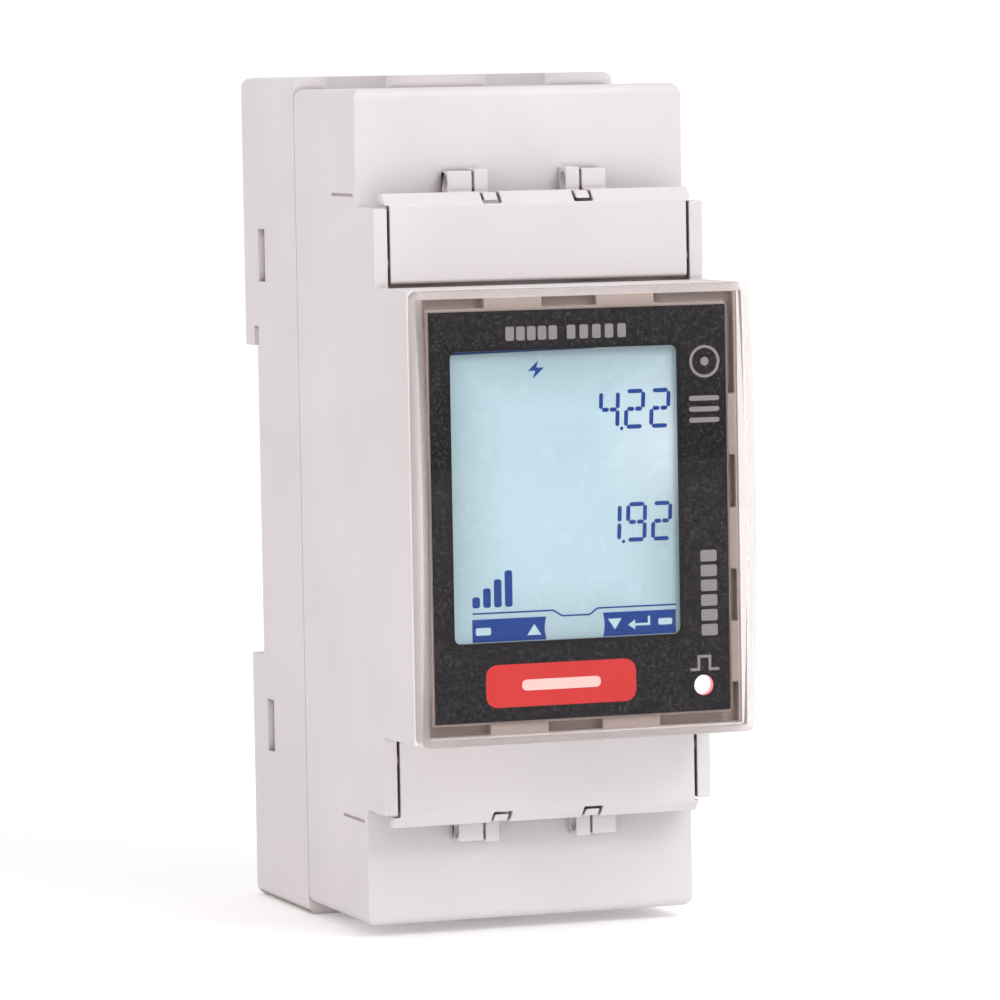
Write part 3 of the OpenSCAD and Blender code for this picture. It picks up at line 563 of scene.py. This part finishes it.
def ribbon(points, width, closed=False):
    """Faces of a line of even width through the points, mitred at its corners."""
    count = len(points)
    sides = []
    for i, point in enumerate(points):
        before = points[i - 1] if i or closed else point
        after = points[(i + 1) % count] if i < count - 1 or closed else point
        into = Vector(point) - Vector(before)
        out = Vector(after) - Vector(point)
        into = (into if into.length else out).normalized()
        out = (out if out.length else into).normalized()
        middle = (into + out).normalized()
        across = Vector((-middle.y, middle.x)) * (width / 2) / max(0.5, middle.dot(into))
        sides.append((tuple(Vector(point) + across), tuple(Vector(point) - across)))
    steps = range(count if closed else count - 1)
    return [[sides[i][0], sides[i][1], sides[(i + 1) % count][1], sides[(i + 1) % count][0]]
            for i in steps]


# ------------------------------------------------------ marks on the panel

# How far the print stands out of the surface under it, and how far it reaches in
INK = 0.03
SUNK = 0.01
ICON_LINE = 0.28
BLOCK_CORNER = 0.2
RING_MIDDLE = (13.5, 14.8)
RING_RADIUS = 1.5
DOT_RADIUS = 0.45


def row(first, pitch, count):
    """Evenly spaced places along a line."""
    return [first + pitch * i for i in range(count)]


def print_marks(looks):
    """Plain stand-ins for the printed words and signs on the panel."""
    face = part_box("label_panel")[0].y
    front = face - INK * MM
    back = face + SUNK * MM

    def printed(name, faces, look="grey_print"):
        relief(name, faces, front, back, looks[look])

    # Rows of equal blocks hold the place of the printed words
    bottom, top, width = 17.5, 18.9, 0.9
    starts = row(first=-7.7, pitch=1.14, count=5) + row(first=-1.2, pitch=1.35, count=5)
    blocks = [rounded_bar(x, bottom, x + width, top, BLOCK_CORNER) for x in starts]
    printed("heading_blocks", blocks)
    left, right, height = 12.75, 14.5, 1.15
    starts = row(first=-12.9, pitch=1.5, count=6)
    blocks = [rounded_bar(left, z, right, z + height, BLOCK_CORNER) for z in starts]
    printed("side_blocks", blocks)

    ring = ribbon(arc(RING_MIDDLE, RING_RADIUS, 0, LAST_ANGLE, 22), ICON_LINE, closed=True)
    printed("round_sign", ring + [arc(RING_MIDDLE, DOT_RADIUS, 0, LAST_ANGLE, 11)])
    left, right, thickness = 12.0, 14.8, 0.5
    heights = (8.9, 10.0, 11.1)
    lines = [stroke((left, z), (right, z), thickness) for z in heights]
    printed("three_line_sign", lines)
    low, high = -16.3, -15.0
    pulse = [(11.5, low), (12.4, low), (12.4, high), (13.6, high), (13.6, low), (14.6, low)]
    printed("pulse_sign", ribbon(pulse, ICON_LINE))

    printed("red_field", [rounded_bar(-10.4, -19.1, 5.6, -14.8, 1.2)], "red_print")
    relief("red_field_bar", [rounded_bar(-6.6, -17.5, 1.8, -16.4, 0.5)],
           front - INK * MM, front + SUNK * MM, looks["pale_print"])


# -------------------------------------------------------- display contents

DIGIT_PITCH = 2.72
DIGIT_WIDTH = 1.8
DIGIT_HEIGHT = 3.56
DIGIT_LEAN = 0.04
SEGMENT_LINE = 0.42
SEGMENT_GAP = 0.3
FIRST_DIGIT_X = 2.6
MIDDLE_SPLIT = 0.25
POINT_RIGHT = 0.4
POINT_BELOW = 0.15
POINT_RADIUS = 0.18
UPPER_READING_Z = 10.23
LOWER_READING_Z = -1.15
DIVIDER_Z = -9.66
DIVIDER_DIP = 0.6
KEY_BOTTOM = -12.55
KEY_BULGE = 0.18
KEY_STEPS = 8

# Lit segments: top, upper left, upper right, middle, lower left, lower right, bottom
LIT = {
    "1": "ur lr",
    "2": "t ur m ll b",
    "4": "ul ur m lr",
    "9": "t ul ur m lr b",
}


def digit(shape, left, middle_z):
    """Faces of one leaning seven-segment digit."""
    half = DIGIT_HEIGHT / 2
    gap = SEGMENT_GAP
    right = left + DIGIT_WIDTH
    centre = (left + right) / 2
    lines = {
        "t": [((left + gap, half), (right - gap, half))],
        "b": [((left + gap, -half), (right - gap, -half))],
        "m": [((left + gap, 0), (centre - MIDDLE_SPLIT, 0)),
              ((centre + MIDDLE_SPLIT, 0), (right - gap, 0))],
        "ul": [((left, gap), (left, half - gap))],
        "ur": [((right, gap), (right, half - gap))],
        "ll": [((left, -gap), (left, gap - half))],
        "lr": [((right, -gap), (right, gap - half))],
    }

    def leaning(point):
        return point[0] + DIGIT_LEAN * point[1], middle_z + point[1]

    return [stroke(leaning(start), leaning(end), SEGMENT_LINE)
            for part in LIT[shape].split() for start, end in lines[part]]


def reading(digits, middle_z):
    """Faces of a three-digit reading with a decimal point after its first digit."""
    faces = []
    for place, shape in enumerate(digits):
        faces += digit(shape, FIRST_DIGIT_X + place * DIGIT_PITCH, middle_z)
    point = (FIRST_DIGIT_X + DIGIT_WIDTH + POINT_RIGHT,
             middle_z - DIGIT_HEIGHT / 2 - POINT_BELOW)
    faces.append(arc(point, POINT_RADIUS, 0, LAST_ANGLE, 11))
    return faces


def left_key_field():
    """Dark field behind the two left keys, with a bulging inner end."""
    left, top, height = -11.45, -10.25, 2.3
    bottom = KEY_BOTTOM
    inner = -3.6
    end = [(inner - KEY_BULGE * math.sin(math.pi * i / KEY_STEPS), bottom + height * i / KEY_STEPS)
           for i in range(KEY_STEPS + 1)]
    return [(left, top), (left, bottom)] + end


def right_key_field():
    """Dark field behind the three right keys, with a bulging inner end."""
    right, top, height = 10.3, -10.15, 2.4
    inner = 2.45
    end = [(inner + KEY_BULGE * math.sin(math.pi * i / KEY_STEPS), top - height * i / KEY_STEPS)
           for i in range(KEY_STEPS + 1)]
    return [(right, KEY_BOTTOM), (right, top)] + end


def display_contents(looks):
    """Segments and key signs between the touch foil and the display glass."""
    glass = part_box("lcd_glass")[0].y
    front = glass - 0.03 * MM
    back = glass - 0.01 * MM
    key_mark_lift = 0.011

    def lit(name, faces, look="segment", lift=0.0):
        relief(name, faces, front - lift * MM, back - lift * MM, looks[look])

    lit("upper_reading", reading("422", UPPER_READING_Z))
    lit("lower_reading", reading("192", LOWER_READING_Z))
    bolt = [(-4.0, 15.4), (-5.1, 14.4), (-4.3, 14.4), (-4.6, 13.6), (-3.4, 14.7), (-4.2, 14.7)]
    lit("bolt_sign", [bolt])
    bottom, first_top, step = -9.1, -8.0, 0.85
    width, corner = 0.8, 0.25
    bars = [rounded_bar(x, bottom, x + width, first_top + step * i, corner)
            for i, x in enumerate(row(first=-11.4, pitch=1.15, count=4))]
    lit("level_bars", bars)
    high, low = DIVIDER_Z, DIVIDER_Z - DIVIDER_DIP
    divider = [(-11.4, high), (-2.85, high), (-1.9, low), (1.05, low), (1.9, high), (10.35, high)]
    lit("divider_line", ribbon(divider, 0.16))
    lit("key_fields", [left_key_field(), right_key_field()])
    marks = [
        rounded_bar(-11.1, -11.85, -9.5, -11.1, 0.2),
        [(-5.65, -12.05), (-4.15, -12.05), (-4.9, -10.95)],
        [(3.0, -10.8), (4.45, -10.8), (3.72, -11.9)],
        rounded_bar(8.4, -11.65, 9.9, -11.0, 0.2),
        [(5.15, -11.5), (5.9, -11.0), (5.9, -12.0)],
    ]
    enter = ribbon([(5.85, -11.5), (7.4, -11.5), (7.4, -10.7)], 0.24)
    lit("key_signs", marks + enter, "key_mark", lift=key_mark_lift)
    lit("top_line", [[(-13.4, 16.5), (-13.4, 16.2), (2.0, 16.45), (2.0, 16.5)]])


# ------------------------------------------------------------------ spring

COIL_WIRE_RADIUS = 0.25
COIL_TURNS = 9


def coil_mesh(name, middle, low_z, high_z, coil_radius, wire_radius, turns):
    """Closed-end compression spring along Z, swept as a round wire. Lengths are in metres.

    The turn at each end touches the next, overlapping it by a fiftieth of the wire.
    """
    around = 28
    ring = 10
    rest_turn = 1
    touching = 0.98
    rest_pitch = 2 * wire_radius * touching
    steps = around * turns
    span = high_z - low_z - 2 * wire_radius - 2 * rest_turn * rest_pitch
    centres = []
    for i in range(steps + 1):
        turn = i / around
        free = min(max(turn - rest_turn, 0), turns - 2 * rest_turn) / (turns - 2 * rest_turn)
        closed = min(turn, rest_turn) + max(turn - (turns - rest_turn), 0)
        rise = closed * rest_pitch
        angle = 2 * math.pi * turn
        centres.append(Vector((
            middle.x + coil_radius * math.cos(angle),
            middle.y + coil_radius * math.sin(angle),
            low_z + wire_radius + rise + span * free,
        )))
    verts = []
    faces = []
    for i, centre in enumerate(centres):
        outward = Vector((centre.x - middle.x, centre.y - middle.y, 0)).normalized()
        for k in range(ring):
            angle = 2 * math.pi * k / ring
            offset = outward * math.cos(angle) + Vector((0, 0, math.sin(angle)))
            verts.append(centre + offset * wire_radius)
    for i in range(steps):
        for k in range(ring):
            nxt = (k + 1) % ring
            faces.append((i * ring + k, i * ring + nxt, (i + 1) * ring + nxt, (i + 1) * ring + k))
    faces.append(tuple(range(ring)))
    faces.append(tuple(steps * ring + k for k in reversed(range(ring))))
    mesh = bpy.data.meshes.new(name)
    mesh.from_pydata(verts, [], faces)
    mesh.polygons.foreach_set("use_smooth", [True] * len(mesh.polygons))
    piece = bpy.data.objects.new(name, mesh)
    bpy.context.scene.collection.objects.link(piece)
    return piece


def latch_coil(looks):
    """Round-wire spring that stands for the CAD coil."""
    low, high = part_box("latch_spring")
    middle = (low + high) / 2
    wire = COIL_WIRE_RADIUS * MM
    outer = (high.y - low.y) / 2
    coil = coil_mesh("latch_coil", middle, low.z, high.z, outer - wire, wire, COIL_TURNS)
    coil.data.materials.append(looks["spring_steel"])
    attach(coil, "meter")
    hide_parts("latch_spring")
    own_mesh(coil)


# ------------------------------------------------------------------- studio

PAPER_GLOW = 0.18
ROOM_STRENGTH = 0.78
ROOM_DIM = (0.2, 0.195, 0.2, 1)
ROOM_BRIGHT = (1.0, 0.972, 0.975, 1)

# Heights on the room's unit sphere, where 0 is the horizon
DIM_BELOW = -0.1
BRIGHT_ABOVE = 0.25

KEY_COLOUR = (0.96, 0.99, 1)
FILL_COLOUR = (1, 0.84, 0.84)


def make_backdrop():
    """Pale floor that turns up into a wall far behind the meter."""
    floor_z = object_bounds()[0][2]
    near, far = -4.0, 2.5
    bend, top, half = 0.8, 3.0, 4.0
    turned_up = arc((far - bend, bend), bend, -90, 0, 16)
    profile = [(near, 0), (far - bend, 0)] + turned_up[1:]
    profile.append((far, top))
    verts = [(side * half, y, floor_z + z) for y, z in profile for side in (-1, 1)]
    faces = [(2 * i, 2 * i + 1, 2 * i + 3, 2 * i + 2) for i in range(len(profile) - 1)]
    mesh = bpy.data.meshes.new("backdrop")
    mesh.from_pydata(verts, [], faces)
    mesh.polygons.foreach_set("use_smooth", [True] * len(mesh.polygons))
    look = Look("backdrop_paper")
    paper = look.spread(look.noise(400, 2), 0, 1)
    look.join(look.blend(paper, tone(248, 248, 249), tone(252, 252, 252)),
              look.shader.inputs["Base Color"])
    look.shader.inputs["Roughness"].default_value = 0.9
    look.shader.inputs["Emission Color"].default_value = (1, 1, 1, 1)
    look.shader.inputs["Emission Strength"].default_value = PAPER_GLOW
    mesh.materials.append(look.material)
    backdrop = bpy.data.objects.new("backdrop", mesh)
    bpy.context.scene.collection.objects.link(backdrop)
    backdrop.visible_glossy = False


def area_light(name, place, target, size, power, colour=(1, 1, 1)):
    """Square soft light of the given power in watts, turned to a target."""
    data = bpy.data.lights.new(name, "AREA")
    data.shape = "SQUARE"
    data.size = size
    data.energy = power
    data.color = colour
    light = bpy.data.objects.new(name, data)
    light.location = place
    light.rotation_euler = (Vector(target) - Vector(place)).to_track_quat("-Z", "Y").to_euler()
    bpy.context.scene.collection.objects.link(light)


def studio_world():
    """White room, dim below the horizon so that the window mirrors little of it.

    The camera sees plain white wherever the backdrop ends.
    """
    world = bpy.data.worlds.new("studio")
    world.use_nodes = True
    tree = world.node_tree
    room = tree.nodes["Background"]
    room.inputs["Strength"].default_value = ROOM_STRENGTH
    coordinates = tree.nodes.new("ShaderNodeTexCoord")
    axes = tree.nodes.new("ShaderNodeSeparateXYZ")
    height = tree.nodes.new("ShaderNodeMapRange")
    height.inputs["From Min"].default_value = DIM_BELOW
    height.inputs["From Max"].default_value = BRIGHT_ABOVE
    shade = tree.nodes.new("ShaderNodeMix")
    shade.data_type = "RGBA"
    shade.inputs[6].default_value = ROOM_DIM
    shade.inputs[7].default_value = ROOM_BRIGHT
    white = tree.nodes.new("ShaderNodeBackground")
    white.inputs["Color"].default_value = (1, 1, 1, 1)
    path = tree.nodes.new("ShaderNodeLightPath")
    mix = tree.nodes.new("ShaderNodeMixShader")
    for output, target in (
        (coordinates.outputs["Generated"], axes.inputs["Vector"]),
        (axes.outputs["Z"], height.inputs["Value"]),
        (height.outputs["Result"], shade.inputs["Factor"]),
        (shade.outputs[2], room.inputs["Color"]),
        (path.outputs["Is Camera Ray"], mix.inputs["Fac"]),
        (room.outputs["Background"], mix.inputs[1]),
        (white.outputs["Background"], mix.inputs[2]),
        (mix.outputs["Shader"], tree.nodes["World Output"].inputs["Surface"]),
    ):
        tree.links.new(output, target)
    return world


def make_lights():
    """A large key from the upper right front, a warm fill from the left, one on the wall behind."""
    meter_middle = (0, -0.03, 0)
    area_light("key", (0.45, -0.95, 0.85), meter_middle, size=0.6, power=5.9, colour=KEY_COLOUR)
    area_light("fill", (-1.1, -0.5, 0.05), meter_middle, size=0.8, power=2.6, colour=FILL_COLOUR)
    area_light("wall_light", (0, 0.6, 2.2), (0, 2.5, 0.5), size=1.5, power=5.0)
    bpy.context.scene.world = studio_world()
    bpy.context.scene.view_settings.view_transform = "Standard"


# ----------------------------------------------------------------- assembly

make_camera()
make_lights()
make_backdrop()
all_looks = make_looks()
dress_nodes(all_looks)
print_marks(all_looks)
display_contents(all_looks)
latch_coil(all_looks)
